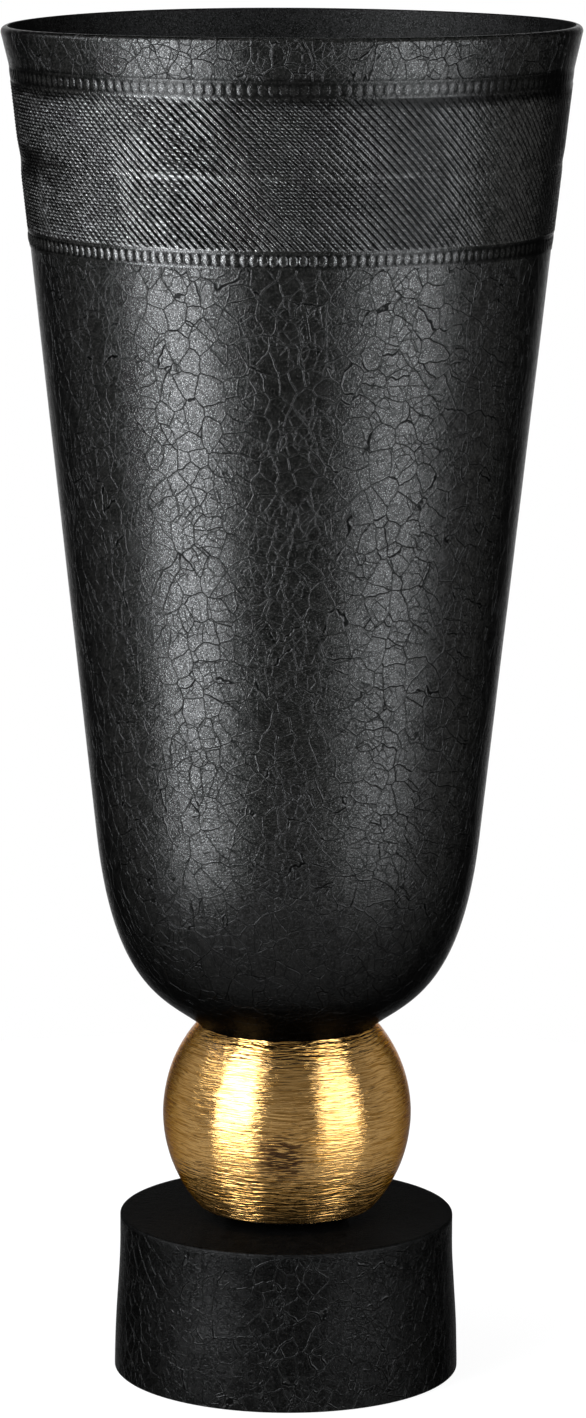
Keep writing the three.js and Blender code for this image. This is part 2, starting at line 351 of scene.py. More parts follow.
def add_beads(skin, z, foot, angles, wear, dark, darkest, bare):
    """One ring of a row of beads, with painted shade that is darkest in the channels beside and between
    the beads.
    """
    relief = bead_row(angles, z - foot, wear)
    front_to_right = lerp(*dark, worn_and_shaded_right(angles))
    painted_shade = lerp(front_to_right, darkest, smooth(bare, -0.1, relief))
    skin.ring(band_surface(z) + relief, z, angles, painted_shade)


def add_band(skin):
    """Rings up the lower beads, the knurl and the upper beads. Returns how far the ridges turned."""
    count = RIDGES * RIDGE_COLUMNS
    knurl_foot, knurl_top = BAND_FOOT + BEAD_ROW, BAND_TOP - BEAD_ROW
    angles = spread(count)
    wear = lerp(0.75, 0.3, worn_and_shaded_right(angles))
    for z in np.linspace(BAND_FOOT + 0.05, knurl_foot, 16):
        add_beads(skin, z, BAND_FOOT, angles, wear, **LOWER_BEADS)

    mean_radius = band_surface((knurl_foot + knurl_top) / 2)
    for row, z in enumerate(np.linspace(knurl_foot, knurl_top, KNURL_ROWS)[1:]):
        twist = -(z - knurl_foot) * RIDGE_SLOPE / mean_radius
        angles = spread(count, twist)
        depth = knurl(angles, z, row)
        waist = WAIST_DEPTH * math.exp(-((z - WAIST) / WAIST_REACH) ** 2)
        # Painted shade for the knurl: darkest in its grooves, and added under the upper beads, over the
        # right and in the patch where the right lamps' highlight falls
        shadow = 0.5 * smooth(4.0, 0.5, knurl_top - z)
        painted_shade_patch = np.exp(-((np.cos(angles) - PAINTED_SHADE_PATCH) / PAINTED_SHADE_PATCH_REACH) ** 2)
        groove = 2.2 * depth / RIDGE_DEPTH - 0.12 + shadow + 0.45 * (worn_and_shaded_right(angles) + painted_shade_patch)
        skin.ring(band_surface(z) + KNURL_RISE - waist - depth, z, angles, np.clip(groove, 0, 1))

    angles = spread(count, twist)
    wear = (0.38 + 0.15 * soft_noise(angles / TAU, 0.0, 18, 2, 12)) * (1 - 0.5 * worn_and_shaded_right(angles))
    for z in np.linspace(knurl_top, BAND_TOP, 16)[1:]:
        add_beads(skin, z, knurl_top, angles, wear, **UPPER_BEADS)
    return twist


def add_lip(skin, body, dip):
    """Rings up the flared lip and over its rounded edge. The dip bends the edge down at both sides."""
    for share in np.linspace(0, 1, 12)[1:]:
        z = lerp(BAND_TOP, LIP_SHOULDER, share)
        skin.ring(lerp(BAND_TOP_RADIUS, LIP_RADIUS, share), z + dip * share, body)
    for step in np.linspace(0, math.pi / 2, 7)[1:]:
        radius = LIP_RADIUS - LIP_ROUND * (1 - math.cos(step))
        skin.ring(radius, LIP_SHOULDER + LIP_ROUND * math.sin(step) + dip, body)
    inner_round = BOWL_WALL - LIP_ROUND
    for step in np.linspace(math.pi / 2, math.pi, 5)[1:]:
        radius = LIP_RADIUS - LIP_ROUND + inner_round * math.cos(step)
        skin.ring(radius, BOWL_TOP - inner_round + inner_round * math.sin(step) + dip, body)


def add_bowl_inside(skin, body, dip):
    """Rings down the inside, over the floor, through the rod's hole and back under to the seat."""
    lip_inside = LIP_RADIUS - BOWL_WALL
    for share in np.linspace(0, 1, 12)[1:]:
        radius = lerp(lip_inside, BAND_TOP_RADIUS - BOWL_WALL, share)
        z = lerp(BOWL_TOP - BOWL_WALL + LIP_ROUND, BAND_TOP, share)
        skin.ring(radius, z + dip * (1 - share), body)
    body = body[::2]
    for share in np.linspace(0, 1, 28)[1:]:
        z = lerp(BAND_TOP, BAND_FOOT, share)
        wave = INSIDE_WAVE * soft_noise(body / TAU, z / 400, 20, 30, 21)
        skin.ring(lerp(BAND_TOP_RADIUS, BAND_FOOT_RADIUS, share) - BOWL_WALL + wave, z, body)
    for share in np.linspace(0, 1, 46)[1:]:
        z = lerp(BAND_FOOT, SHOULDER_TOP, share)
        wave = INSIDE_WAVE * soft_noise(body / TAU, z / 400, 20, 30, 21)
        skin.ring(lerp(BAND_FOOT_RADIUS, SHOULDER_RADIUS, share) - BOWL_WALL + wave, z, body)
    floor = BOWL_BOTTOM + BOWL_FLOOR
    for t in np.linspace(1, 0, 40)[1:]:
        (r1, z1), (r2, z2) = shoulder_point(t), shoulder_point(min(1, t + 0.001))
        length = math.hypot(r2 - r1, z2 - z1)
        radius = r1 - BOWL_WALL * (z2 - z1) / length
        z = z1 + BOWL_WALL * (r2 - r1) / length
        if z < floor + 0.4:
            break
        skin.ring(radius, z, body)
    for radius in np.linspace(radius - FLOOR_EASE, HOLE, 14):
        skin.ring(radius, floor, body)
    skin.ring(HOLE, BOWL_BOTTOM, body)
    for radius in np.linspace(HOLE, BOWL_SEAT, 6)[1:-1]:
        skin.ring(radius, BOWL_BOTTOM, body)
    skin.close()


def eased(outline, size, steps=3, closed=True):
    """The outline with its corners turned into short curves."""
    points = []
    for i, corner in enumerate(outline):
        if not closed and i in (0, len(outline) - 1):
            points.append(corner)
            continue
        before, after = outline[i - 1], outline[(i + 1) % len(outline)]
        ends = []
        for other in (before, after):
            length = math.hypot(other[0] - corner[0], other[1] - corner[1])
            share = min(size, length / 2.2) / length
            ends.append(tuple(lerp(c, o, share) for c, o in zip(corner, other)))
        for t in np.linspace(0, 1, steps + 1):
            weights = ((1 - t) ** 2, 2 * t * (1 - t), t * t)
            trio = (ends[0], corner, ends[1])
            points.append(tuple(sum(w * q[axis] for w, q in zip(weights, trio)) for axis in (0, 1)))
    return points


def finer(outline, step, closed=True):
    """The outline with points added where two of them are further apart than a step."""
    points = []
    pairs = list(zip(outline, outline[1:] + outline[:1]))
    for a, b in pairs if closed else pairs[:-1]:
        count = max(1, int(math.hypot(b[0] - a[0], b[1] - a[1]) / step))
        points += [tuple(lerp(p, q, i / count) for p, q in zip(a, b)) for i in range(count)]
    return points if closed else points + [outline[-1]]


def turned(name, outline, columns, relief=None, closed=True):
    """A piece turned from an outline of (radius, height) that goes up on its outside."""
    skin = Skin()
    for radius, z in outline:
        if radius < 1e-6:
            skin.ring(0.0, z, np.zeros(1))
            continue
        angles = spread(columns)
        skin.ring(radius + (relief(angles, radius, z) if relief else 0), z, angles)
    if closed:
        skin.close()
    return skin.to_object(name)


def flare_point(t):
    """The drum's side, from its foot up to where it runs straight to the deck."""
    corners = [(FOOT_RADIUS, FOOT_EASE), (FOOT_RADIUS, FLARE_LOW_SHARE * FLARE_TOP),
               (DECK_RADIUS, FLARE_HIGH_SHARE * FLARE_TOP), (DECK_RADIUS, FLARE_TOP)]
    radius, z = cubic(corners, t)
    return radius, z + DRUM_BOTTOM


def make_drum():
    inside = FOOT_RADIUS - FOOT_RING
    under = DECK_TOP - DECK_THICKNESS
    wall = DECK_RADIUS - DRUM_WALL
    outline = [(inside, DRUM_BOTTOM), (FOOT_RADIUS - FOOT_EASE, DRUM_BOTTOM)]
    outline += [flare_point(t) for t in np.linspace(0, 1, 40)]
    outline += [(DECK_RADIUS - DECK_ROUND * (1 - math.cos(a)), DECK_TOP - DECK_ROUND * (1 - math.sin(a)))
                for a in np.linspace(0, math.pi / 2, 6)]
    under_side = [(HOLE, DECK_TOP), (HOLE, under - BOSS_HEIGHT), (BOSS_RADIUS, under - BOSS_HEIGHT),
                  (BOSS_RADIUS + 1, under), (wall, under), (wall, FOOT_RING_HEIGHT + FOOT_RING_SLOPE),
                  (inside, FOOT_RING_HEIGHT)]
    outline += eased(under_side, 0.6)
    def cast(angles, radius, z):
        if z < DRUM_BOTTOM + 0.5 or radius < HOLE + 1:
            return np.zeros_like(angles)
        return 0.04 * soft_noise(angles / TAU, z / 60, 30, 8, 31)
    drum = turned("base_drum_cast", finer(outline, 1.2), 480, cast)
    cut_pockets(drum)
    return drum


def pad_places():
    place = FOOT_RADIUS - FOOT_RING / 2
    for i in range(PADS):
        angle = TAU * (i + 0.5) / PADS
        yield place * math.cos(angle), place * math.sin(angle)


def cut_pockets(drum):
    """Four shallow round pockets in the drum's rim, for the pads."""
    radius = PAD_RADIUS + POCKET_CLEARANCE
    outline = [(0, -1), (radius, -1), (radius, PAD_THICKNESS), (0, PAD_THICKNESS)]
    for x, y in pad_places():
        cutter = turned("pocket", outline, 64, closed=False)
        cutter.location = (x * MM, y * MM, 0)
        cut = drum.modifiers.new("pocket", "BOOLEAN")
        cut.operation, cut.solver, cut.object = "DIFFERENCE", "EXACT", cutter
        bpy.context.view_layer.update()
        solid = bpy.data.meshes.new_from_object(drum.evaluated_get(bpy.context.evaluated_depsgraph_get()))
        drum.modifiers.clear()
        drum.data = solid
        bpy.data.objects.remove(cutter)


def make_pads():
    corners = [(0, 0), (PAD_RADIUS, 0), (PAD_RADIUS, PAD_THICKNESS), (0, PAD_THICKNESS)]
    outline = eased(corners, 0.3, closed=False)
    def fuzz(angles, radius, z):
        return 0.04 * soft_noise(angles / TAU, z / 2, 30, 6, 41) - 0.04
    pads = []
    for i, (x, y) in enumerate(pad_places()):
        pad = turned(f"pad_{i + 1}", finer(outline, 0.3, closed=False), 64, fuzz, closed=False)
        pad.location = (x * MM, y * MM, 0)
        pads.append(pad)
    return pads


def make_ball():
    outer_end = math.asin(BALL_SEAT_DROP / BALL_HALF_HEIGHT)
    inner_drop = BALL_SEAT_DROP - BALL_SEAT_THICKNESS
    inner_half = BALL_HALF_HEIGHT - BALL_WALL
    inner_end = math.asin(inner_drop / inner_half)
    outline = [(BALL_RADIUS * math.cos(a), BALL_CENTRE + BALL_HALF_HEIGHT * math.sin(a))
               for a in np.linspace(-outer_end, outer_end, 150)]
    outline += [(HOLE, BALL_CENTRE + BALL_SEAT_DROP), (HOLE, BALL_CENTRE + inner_drop)]
    outline += [((BALL_RADIUS - BALL_WALL) * math.cos(a), BALL_CENTRE + inner_half * math.sin(a))
                for a in np.linspace(inner_end, -inner_end, 40)]
    outline += [(HOLE, BALL_CENTRE - inner_drop), (HOLE, BALL_CENTRE - BALL_SEAT_DROP)]
    def brushed(angles, radius, z):
        if radius < HOLE + 1 or radius < BALL_RADIUS - BALL_WALL and abs(z - BALL_CENTRE) > inner_drop:
            return np.zeros_like(angles)
        turn, share = angles / TAU, (z - BALL_CENTRE + 50) / 100
        slow = 0.06 * soft_noise(turn, share, 26, 12, 51)
        return slow - 0.06 + 0.02 * soft_noise(turn + 0.3 * share, share, 90, 120, 52)
    return turned("brushed_ball", outline, 480, brushed)


def make_collar():
    inside, outside = HOLE, COLLAR_RADIUS
    bottom, top = DECK_TOP, DECK_TOP + COLLAR_HEIGHT
    outline = eased([(outside, bottom), (outside, top), (inside, top), (inside, bottom)], 0.4)
    return turned("turned_collar", finer(outline, 1.0), 240)


def make_washer(name, radius, bottom, thickness, edge=0.25):
    top = bottom + thickness
    outline = eased([(radius, bottom), (radius, top), (HOLE, top), (HOLE, bottom)], edge)
    return turned(name, finer(outline, 0.6), 180)


def hexagon(angles):
    """Distance from the axis to a nut's side, over its distance at the middle of a flat."""
    return 1 / np.cos((angles + math.pi / 6) % (math.pi / 3) - math.pi / 6)


def nut_sides(height):
    """Rings up a nut's outside, as (height, greatest radius) pairs: its corners are turned off."""
    corner = NUT_FLATS / math.sqrt(3)
    ease = NUT_CHAMFER / 2
    low = [(0.0, corner - NUT_CHAMFER - 0.15), (0.05, corner - NUT_CHAMFER)]
    low += [(ease * t, corner - NUT_CHAMFER * (1 - t)) for t in (0.35, 0.7, 1.0)]
    middle = [(height * t, corner) for t in (0.25, 0.5, 0.75)]
    return low + middle + [(height - z, r) for z, r in reversed(low)]


def make_nut(name, bottom, height, dome=0.0, bore=None):
    """A hexagon nut, open right through, or with a dome and a bore that ends inside it."""
    skin = Skin()
    angles = spread(180)
    if dome:
        skin.ring(0.0, bottom + bore, np.zeros(1))
        skin.ring(NUT_HOLE * 0.6, bottom + bore, angles)
    skin.ring(NUT_HOLE, bottom + (bore or height), angles)
    skin.ring(NUT_HOLE, bottom, angles)
    for z, limit in nut_sides(height):
        skin.ring(np.minimum(NUT_FLATS / 2 * hexagon(angles), limit), bottom + z, angles)
    if not dome:
        skin.close()
        return skin.to_object(name)
    for turn in np.linspace(0, math.pi / 2, 14)[:-1]:
        skin.ring(dome * math.cos(turn), bottom + height + dome * math.sin(turn), angles)
    skin.ring(0.0, bottom + height + dome, np.zeros(1))
    return skin.to_object(name)


def make_rod(bottom, top):
    """The tie rod, with a thread from end to end."""
    skin = Skin()
    angles = spread(36)
    skin.ring(0.0, bottom, np.zeros(1))
    skin.ring((ROD_RADIUS - ROD_CHAMFER) * 0.7, bottom, angles)
    for z in np.linspace(bottom, top, int((top - bottom) / 0.2)):
        phase = (z / THREAD_PITCH - angles / TAU) % 1
        groove = np.clip(1.15 - np.abs(phase - 0.5) * 3.2, 0, 1)
        limit = ROD_RADIUS - ROD_CHAMFER + min(z - bottom, top - z)
        skin.ring(np.minimum(ROD_RADIUS - THREAD_DEPTH * groove, limit), z, angles)
    skin.ring((ROD_RADIUS - ROD_CHAMFER) * 0.7, top, angles)
    skin.ring(0.0, top, np.zeros(1))
    return skin.to_object("threaded_rod", sharp=50.0)


def make_spring_washer(bottom):
    """A ring with a gap: its eased section swept from one side of the gap to the other."""
    top = bottom + SPRING_THICKNESS
    section = eased([(SPRING_RADIUS, bottom), (SPRING_RADIUS, top), (HOLE, top), (HOLE, bottom)], 0.25)
    half_gap = SPRING_GAP / SPRING_RADIUS / 2
    count, steps = len(section), 120
    points, faces = [], [tuple(range(count)), tuple(reversed(range(steps * count, (steps + 1) * count)))]
    for angle in np.linspace(half_gap, TAU - half_gap, steps + 1):
        points += [(r * math.cos(angle) * MM, r * math.sin(angle) * MM, z * MM) for r, z in section]
    for step in range(steps):
        for i in range(count):
            a, b = step * count + i, step * count + (i + 1) % count
            faces.append((a, a + count, b + count, b))
    mesh = bpy.data.meshes.new("split_washer")
    mesh.from_pydata(points, [], faces)
    mesh.set_sharp_from_angle(angle=math.radians(30))
    for face in mesh.polygons:
        face.use_smooth = True
    made = bpy.data.objects.new("split_washer", mesh)
    bpy.context.scene.collection.objects.link(made)
    return made


def make_fastenings():
    """What holds the vase together, from under the drum's deck up to the cap nut in the bowl."""
    washer = DECK_TOP - DECK_THICKNESS - BOSS_HEIGHT - WASHER_THICKNESS
    spring = washer - SPRING_THICKNESS
    nut = spring - BASE_NUT_HEIGHT
    seal = BOWL_BOTTOM + BOWL_FLOOR
    bowl_washer = seal + SEAL_THICKNESS
    cap = bowl_washer + WASHER_THICKNESS
    return {
        "base_washer": make_washer("flat_washer_low", WASHER_RADIUS, washer, WASHER_THICKNESS),
        "spring_washer": make_spring_washer(spring),
        "base_nut": make_nut("hexagon_nut", nut, BASE_NUT_HEIGHT),
        "bowl_seal": make_washer("rubber_ring", SEAL_RADIUS, seal, SEAL_THICKNESS, edge=0.6),
        "bowl_washer": make_washer("flat_washer_high", WASHER_RADIUS, bowl_washer, WASHER_THICKNESS),
        "cap_nut": make_nut("domed_nut", cap, CAP_NUT_HEIGHT, CAP_DOME, CAP_BORE),
        "tie_rod": make_rod(nut - ROD_BELOW_NUT, cap + ROD_INTO_CAP),
    }


def make_bowl():
    skin = Skin()
    add_body(skin)
    twist = add_band(skin)
    body = spread(BODY_COLUMNS, twist)
    dip = -lerp(LIP_DIP_LEFT, LIP_DIP_RIGHT, (1 + np.cos(body)) / 2) * np.cos(body) ** 2
    add_lip(skin, body, dip)
    add_bowl_inside(skin, body, dip)
    return skin.to_object("cast_bowl", sharp=60.0)


def add_camera():
    data = bpy.data.cameras.new("camera")
    data.lens = CAMERA_LENS
    data.sensor_width = CAMERA_SENSOR
    camera = bpy.data.objects.new("camera", data)
    camera.location = (CAMERA_SIDE, -CAMERA_DISTANCE, CAMERA_HEIGHT)
    camera.rotation_euler = (math.radians(90 - CAMERA_PITCH), math.radians(CAMERA_ROLL), 0)
    bpy.context.scene.collection.objects.link(camera)
    bpy.context.scene.camera = camera


LAMP_COLOR = (0.96, 0.99, 1.05)


def add_area_light(name, place, target, size, power):
    """A soft box of a size in metres and a power in watts, turned to face its target."""
    data = bpy.data.lights.new(name, "AREA")
    data.shape = "RECTANGLE"
    data.size, data.size_y = size
    data.energy = power
    data.color = LAMP_COLOR
    light = bpy.data.objects.new(name, data)
    light.location = place
    aim = [t - p for t, p in zip(target, place)]
    light.rotation_euler = Vector(aim).to_track_quat("-Z", "Y").to_euler()
    bpy.context.scene.collection.objects.link(light)


class Nodes:
    """The node tree of a material or a world, with short calls that make and link its nodes."""

    def __init__(self, owner, shader="Principled BSDF"):
        owner.use_nodes = True
        self.owner = owner
        self.tree = owner.node_tree
        self.shader = self.tree.nodes[shader]

    def add(self, kind, inputs=None, **settings):
        node = self.tree.nodes.new(kind)
        for key, value in settings.items():
            setattr(node, key, value)
        for key, value in (inputs or {}).items():
            if isinstance(value, bpy.types.NodeSocket):
                self.tree.links.new(value, node.inputs[key])
            else:
                node.inputs[key].default_value = value
        return node

    def to_shader(self, **inputs):
        for key, value in inputs.items():
            socket = self.shader.inputs[key.replace("_", " ")]
            if isinstance(value, bpy.types.NodeSocket):
                self.tree.links.new(value, socket)
            else:
                socket.default_value = value


def ranged(n, value, low, high, to_low=0.0, to_high=1.0):
    """A value taken from one range to another, and held inside it."""
    node = n.add("ShaderNodeMapRange", {"Value": value, "From Min": low, "From Max": high,
                                        "To Min": to_low, "To Max": to_high})
    return node.outputs["Result"]


def maths(n, operation, *values):
    return n.add("ShaderNodeMath", dict(enumerate(values)), operation=operation).outputs[0]


def times(n, first, second):
    return maths(n, "MULTIPLY", first, second)


def plus(n, first, second):
    return maths(n, "ADD", first, second)


def object_place(n):
    return n.add("ShaderNodeTexCoord").outputs["Object"]


def height_of(n, place):
    return n.add("ShaderNodeSeparateXYZ", {0: place}).outputs["Z"]


def bumped(n, height):
    """A normal bent by a height in millimetres."""
    return n.add("ShaderNodeBump", {"Strength": 1.0, "Distance": MM, "Height": height}).outputs["Normal"]


def vector_maths(n, operation, first, second, socket=0):
    return n.add("ShaderNodeVectorMath", {0: first, 1: second}, operation=operation).outputs[socket]


def noise(n, place, scale, detail=2.0, color=False):
    node = n.add("ShaderNodeTexNoise", {"Vector": place, "Scale": scale, "Detail": detail})
    return node.outputs["Color" if color else "Fac"]


def shifted(n, place, scale, reach):
    """The place, moved about by noise of a scale, at most half the reach each way."""
    wander = noise(n, place, scale, color=True)
    centred = vector_maths(n, "SUBTRACT", wander, (0.5, 0.5, 0.5))
    step = n.add("ShaderNodeVectorMath", {0: centred, "Scale": reach}, operation="SCALE").outputs[0]
    return vector_maths(n, "ADD", place, step)


def crack_lines(n, place, scale, width, gate_scale, gate):
    """Lines between cells and the raised lips along them, where a slow noise is above the gate."""
    cells = n.add("ShaderNodeTexVoronoi", {"Vector": place, "Scale": scale}, feature="DISTANCE_TO_EDGE")
    away = cells.outputs["Distance"]
    opened = ranged(n, noise(n, place, gate_scale), gate, gate + 0.06)
    line = ranged(n, away, 0.4 * width * scale, 1.1 * width * scale, 1.0, 0.0)
    both = ranged(n, away, 1.4 * width * scale, 2.2 * width * scale, 1.0, 0.0)
    lips = maths(n, "SUBTRACT", both, line)
    return times(n, line, opened), times(n, lips, opened)


def mixed(n, factor, first, second):
    """A colour between two, by a factor."""
    node = n.add("ShaderNodeMix", data_type="RGBA")
    factor_in, first_in, second_in = node.inputs[0], node.inputs[6], node.inputs[7]
    n.tree.links.new(factor, factor_in)
    for socket, value in ((first_in, first), (second_in, second)):
        if isinstance(value, bpy.types.NodeSocket):
            n.tree.links.new(value, socket)
        else:
            socket.default_value = value
    return node.outputs[2]


# Black coat: cells per metre, the cracks' half width, and over which heights it changes, in metres
WIDE_CELLS, WIDE_CRACK = 165.0, 0.00011
THIN_CELLS, THIN_CRACK = 310.0, 0.00008
UNDERSIDE_SHADE_REACH = 0.072
FADE_REACH = 0.0012
CRACK_TONE = 0.005
PAINTED_SHADE_TONE = 0.006


def grey(level, blue=0.97):
    """A grey whose blue is a share of its red and green, so that it is a little warm."""
    return level, level, blue * level, 1


def black_coat(name, crack_depth, tone=0.044, low=0.14, high=0.21, size=1.0, grain_depth=0.08,
               edge_tint=0.16, lip_glint_tone=1.7, smooth_above=1.0, haze_above=0.0, underside_shade_from=-1.0):
    """A worn black coat on cast metal, crossed by fine cracks.

    Tone is its reflectance, low and high bound its roughness, and size scales the cells between
    the cracks. Above the height smooth_above it has haze and no cracks. Painted shade darkens its
    colour at and below the last height given, and fades out a little higher up.
    """
    n = Nodes(bpy.data.materials.new(name))
    place = object_place(n)

    # Cracks: two nets of cells, slightly taller than wide, with bent edges
    tall = n.add("ShaderNodeMapping", {"Vector": place, "Scale": (1.0, 1.0, 0.85)}).outputs[0]
    bent = shifted(n, shifted(n, tall, 90.0, 0.004), 420.0, 0.0007)
    wide, wide_lips = crack_lines(n, bent, WIDE_CELLS / size, WIDE_CRACK, 50.0, 0.26)
    thin, thin_lips = crack_lines(n, bent, THIN_CELLS / size, THIN_CRACK, 80.0, 0.46)
    crack = maths(n, "MAXIMUM", wide, times(n, thin, 0.75))
    lips = maths(n, "MAXIMUM", wide_lips, times(n, thin_lips, 0.7))
    up = height_of(n, place)
    cracked = ranged(n, up, smooth_above - FADE_REACH, smooth_above, 1.0, 0.0)
    crack, lips = times(n, crack, cracked), times(n, lips, cracked)

    # Relief: grain, lumps and the cracks between their raised lips
    grain = noise(n, place, 1500.0, 3.0)
    fine = noise(n, place, 3000.0, 1.0)
    patches = noise(n, place, 260.0, 3.0)
    lumps = plus(n, times(n, grain, grain_depth), times(n, patches, 0.05))
    lumps = plus(n, lumps, times(n, fine, 0.05))
    raised, sunk = times(n, lips, 0.4 * crack_depth), times(n, crack, crack_depth)
    normal = bumped(n, plus(n, lumps, maths(n, "SUBTRACT", raised, sunk)))

    # Colour: mottled, with painted glints as bright specks and along the cracks' raised lips, dark in
    # cracks, and with painted shade low on the underside and where the mesh carries it
    mottled = ranged(n, plus(n, grain, times(n, patches, 0.5)), 0.6, 0.9)
    glint_specks = ranged(n, fine, 0.59, 0.68)
    coat = mixed(n, mottled, grey(0.55 * tone), grey(1.5 * tone))
    coat = mixed(n, glint_specks, coat, grey(3.4 * tone))
    coat = mixed(n, lips, coat, grey(lip_glint_tone * tone))
    coat = mixed(n, times(n, crack, 0.95), coat, grey(CRACK_TONE))
    # Painted shade on the bowl's rounded underside, darkest at its bottom and fading out upwards
    underside_shade = ranged(n, up, underside_shade_from, underside_shade_from + UNDERSIDE_SHADE_REACH, 0.95, 0.0)
    coat = mixed(n, underside_shade, coat, grey(0.2 * tone))
    # Painted shade carried by the mesh: in the band's grooves and channels, below its upper beads, over
    # its right and in one patch
    painted_shade = n.add("ShaderNodeAttribute", attribute_name="painted_shade").outputs["Fac"]
    shade = mixed(n, times(n, painted_shade, 0.97), coat, grey(PAINTED_SHADE_TONE))

    haze = ranged(n, cracked, 0.0, 1.0, haze_above, 0.0)
    rough = plus(n, ranged(n, patches, 0.3, 0.7, low, high), haze)
    n.to_shader(Base_Color=shade, Metallic=0.97, Roughness=rough,
                Specular_Tint=grey(edge_tint, blue=1.0), Normal=normal)
    return n.owner


def stretched(n, place, across, up, detail=1.0):
    """Noise drawn out round the vase: its scale sideways and its scale upwards."""
    long = n.add("ShaderNodeMapping", {"Vector": place, "Scale": (across, across, up)}).outputs[0]
    return noise(n, long, 1.0, detail)


DARK_GOLD, LIGHT_GOLD = (0.6, 0.3, 0.065, 1), (1.0, 0.59, 0.2, 1)
SCORED_GOLD = (0.1, 0.035, 0.008, 1)


def brushed_gold():
    """A gold finish brushed round the ball in short strokes, with one rubbed patch at the front.

    The strokes are coarser at the ball's foot and head, and its lacquer is the coat.
    """
    n = Nodes(bpy.data.materials.new("brushed_gold"))
    place = object_place(n)
    waved = shifted(n, place, 70.0, 0.002)

    # Relief: strokes and hairs round the ball, and scratches where it is rubbed. Heights in metres
    strokes = stretched(n, waved, 130.0, 1500.0, 2.0)
    hairs = stretched(n, waved, 300.0, 3200.0)
    scratches = stretched(n, waved, 210.0, 1900.0)
    away = vector_maths(n, "DISTANCE", place, tuple(c * MM for c in RUBBED), "Value")
    rubbed = ranged(n, away, 0.004, 0.012, 1.0, 0.0)
    up = height_of(n, place)
    coarse_foot = ranged(n, up, 0.056, 0.073, 1.3, 0.28)
    coarse = maths(n, "MAXIMUM", coarse_foot, ranged(n, up, 0.102, 0.109, 0.28, 1.2))
    height = plus(n, times(n, strokes, coarse), times(n, hairs, 0.14))
    height = plus(n, height, times(n, scratches, times(n, rubbed, 0.5)))

    # Colour: light and dark lines, with the deepest scratches darkest
    scored = maths(n, "SUBTRACT", scratches, times(n, rubbed, 0.22))
    scored = ranged(n, scored, 0.28, 0.36, 1.0, 0.0)
    lines = stretched(n, waved, 120.0, 2600.0, 2.0)
    shade = mixed(n, ranged(n, lines, 0.36, 0.56), DARK_GOLD, LIGHT_GOLD)
    scored = times(n, scored, ranged(n, rubbed, 0.0, 1.0, 0.5, 0.95))
    shade = mixed(n, scored, shade, SCORED_GOLD)

    round_ball = n.add("ShaderNodeTangent", direction_type="RADIAL", axis="Z")
    polish = plus(n, ranged(n, hairs, 0.3, 0.7, 0.16, 0.2), ranged(n, up, 0.054, 0.066, 0.08, 0.0))
    n.to_shader(Base_Color=shade, Metallic=1.0, Roughness=polish,
                Anisotropic=0.95, Anisotropic_Rotation=0.25, Tangent=round_ball.outputs[0],
                Specular_Tint=(0.4, 0.24, 0.1, 1), Normal=bumped(n, height), Coat_Weight=0.3,
                Coat_Roughness=0.25, Coat_IOR=1.5)
    return n.owner


def worn_steel():
    """Zinc-plated steel: turned marks round the axis, dull spots and small changes of shine."""
    n = Nodes(bpy.data.materials.new("steel"))
    place = object_place(n)
    spots = noise(n, place, 700.0, 3.0)
    marks = stretched(n, place, 60.0, 5200.0)
    height = plus(n, times(n, marks, 0.02), times(n, spots, 0.03))
    shade = mixed(n, ranged(n, spots, 0.35, 0.65), (0.36, 0.36, 0.37, 1), (0.62, 0.62, 0.64, 1))
    n.to_shader(Base_Color=shade, Metallic=1.0, Roughness=ranged(n, spots, 0.3, 0.7, 0.22, 0.42),
                Normal=bumped(n, height))
    return n.owner


def soft_stuff(name, dark, light, scale, depth):
    """Rubber or felt: a matte, uneven surface."""
    n = Nodes(bpy.data.materials.new(name))
    place = object_place(n)
    grain, blotches = noise(n, place, scale, 3.0), noise(n, place, 300.0, 2.0)
    shade = mixed(n, ranged(n, plus(n, grain, blotches), 0.8, 1.2), dark, light)
    n.to_shader(Base_Color=shade, Roughness=ranged(n, grain, 0.3, 0.7, 0.75, 0.95),
                Normal=bumped(n, times(n, grain, depth)))
    return n.owner


def make_pieces():
    """The visible pieces, by the names of the nodes that they replace."""
    made = {"bowl": make_bowl(), "base_drum": make_drum(), "ball": make_ball(), "collar": make_collar()}
    made.update({f"felt_pad_{i + 1}": pad for i, pad in enumerate(make_pads())})
    made.update(make_fastenings())
    return made


def dress(made):
    """Puts each piece in its node's place and slot, with its finish."""
    crackle = black_coat("black_crackle", 0.09, underside_shade_from=BOWL_BOTTOM * MM)
    band = black_coat("black_band", 0.0, tone=0.145, low=0.13, high=0.2, grain_depth=0.06,
                      smooth_above=0.0)
    inside = black_coat("black_inside", 0.0, tone=0.015, low=0.5, high=0.6, grain_depth=0.06,
                        smooth_above=0.0)
    base = black_coat("black_base", 0.2, tone=0.012, low=0.25, high=0.3, size=0.8, edge_tint=0.3,
                      lip_glint_tone=3.8, smooth_above=(DECK_TOP - 0.4) * MM, haze_above=0.25)
    rubber = soft_stuff("rubber", grey(0.012, blue=1.0), grey(0.03, blue=1.0), 900.0, 0.04)
    felt = soft_stuff("felt", (0.015, 0.015, 0.016, 1), (0.05, 0.05, 0.052, 1), 2600.0, 0.2)
    finishes = {"black_casting": crackle, "gold_ball": brushed_gold(), "steel": worn_steel(),
                "seal": rubber, "felt": felt}
    slots = {s["node"]: s["material_slot"] for s in frame["record"]["subparts"]}
    for name, piece in made.items():
        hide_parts(name)
        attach(piece, "root")
        piece.data.materials.clear()
        piece.data.materials.append(finishes[slots[name]])
    made["base_drum"].data.materials[0] = base
    made["bowl"].data.materials.append(band)
    made["bowl"].data.materials.append(inside)
    mark_bowl(made["bowl"].data)


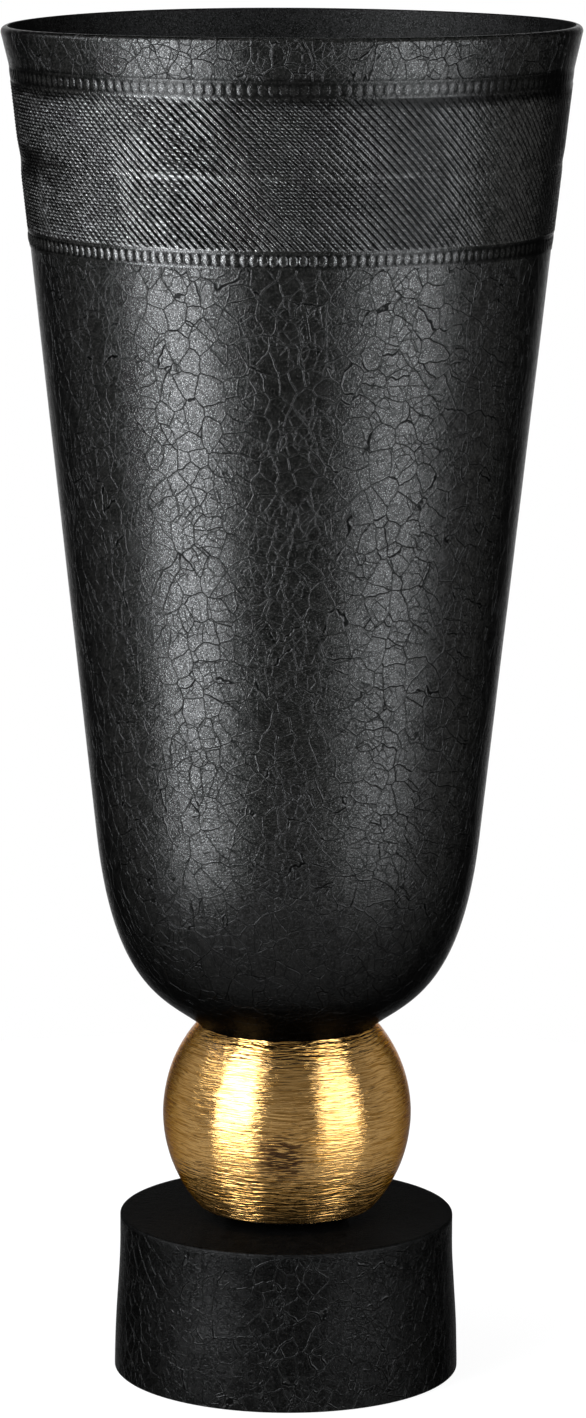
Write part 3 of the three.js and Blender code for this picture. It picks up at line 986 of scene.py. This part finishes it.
def mark_bowl(mesh):
    """Gives the second material to the faces of the band and the third to those inside the bowl."""
    centres, normals = (np.empty(len(mesh.polygons) * 3) for _ in range(2))
    mesh.polygons.foreach_get("center", centres)
    mesh.polygons.foreach_get("normal", normals)
    centres, normals = centres.reshape(-1, 3) / MM, normals.reshape(-1, 3)
    z = centres[:, 2]
    radius = np.hypot(centres[:, 0], centres[:, 1])
    outward = (centres[:, :2] * normals[:, :2]).sum(1) / radius
    on_band = (z > BAND_FOOT) & (z < BAND_TOP) & (radius > band_surface(z) - 1)
    inner_wall = (outward < -0.2) & (z > BOWL_BOTTOM + BOWL_FLOOR)
    floor = (radius < 45) & (z > BOWL_BOTTOM + BOWL_FLOOR - 1) & (normals[:, 2] > 0.5)
    index = np.where(on_band, 1, np.where(inner_wall | floor, 2, 0))
    mesh.polygons.foreach_set("material_index", index.astype(np.int32))


TABLE_RADIUS = 0.45


def add_table():
    """A round, pale table top. Camera rays see some glow added, so that it reads as white."""
    mesh = bpy.data.meshes.new("table_top")
    rim = [(TABLE_RADIUS * math.cos(a), TABLE_RADIUS * math.sin(a), 0.0) for a in spread(128)]
    mesh.from_pydata(rim, [], [tuple(range(len(rim)))])
    table = bpy.data.objects.new("table_top", mesh)
    bpy.context.scene.collection.objects.link(table)
    n = Nodes(bpy.data.materials.new("table_top"))
    rays = n.add("ShaderNodeLightPath")
    seen = times(n, rays.outputs["Is Camera Ray"], 0.9)
    glow = plus(n, seen, times(n, rays.outputs["Is Glossy Ray"], 0.18))
    n.to_shader(Base_Color=(0.2, 0.2, 0.195, 1), Roughness=0.9, Emission_Color=(1, 1, 1, 1),
                Emission_Strength=glow)
    mesh.materials.append(n.owner)


def add_world():
    """White to the camera and, for reflections, white only behind the vase. Dim elsewhere."""
    world = bpy.data.worlds.new("world")
    bpy.context.scene.world = world
    n = Nodes(world, shader="Background")
    rays = n.add("ShaderNodeLightPath").outputs
    view = n.add("ShaderNodeTexCoord").outputs["Generated"]
    ahead = vector_maths(n, "DOT_PRODUCT", view, (0, 1, 0), "Value")
    sides, fall = ranged(n, ahead, -0.2, 0.5, 0.19, 0.37), ranged(n, ahead, 0.45, 0.8, 0.0, 0.22)
    dim = maths(n, "SUBTRACT", sides, fall)
    mirrored = maths(n, "MAXIMUM", rays["Is Glossy Ray"], rays["Is Transmission Ray"])
    white = maths(n, "MAXIMUM", times(n, mirrored, ranged(n, ahead, 0.9, 0.97)), rays["Is Camera Ray"])
    n.to_shader(Color=(1, 1, 1, 1), Strength=ranged(n, white, 0.0, 1.0, dim, 1.0))


dress(make_pieces())
add_camera()
add_table()
add_world()
add_area_light("left_box", (-0.855, -0.69, 0.55), (0, 0, 0.55), (0.7, 1.1), 15.5)
add_area_light("left_low_box", (-0.855, -0.69, -0.36), (0, 0, -0.36), (0.7, 0.7), 8.4)
add_area_light("left_top_box", (-0.7, -0.6, 1.25), (0, 0, 0.4), (0.7, 0.4), 4.5)
add_area_light("left_side_box", (-1.1, 0.0, 0.98), (0, 0, 0.4), (0.9, 0.45), 3)
add_area_light("right_box", (0.86, -0.68, 0.55), (0, 0, 0.55), (0.75, 1.1), 8.6)
add_area_light("right_low_box", (0.86, -0.68, -0.36), (0, 0, -0.36), (0.75, 0.7), 4)
bpy.context.scene.view_settings.view_transform = "Standard"
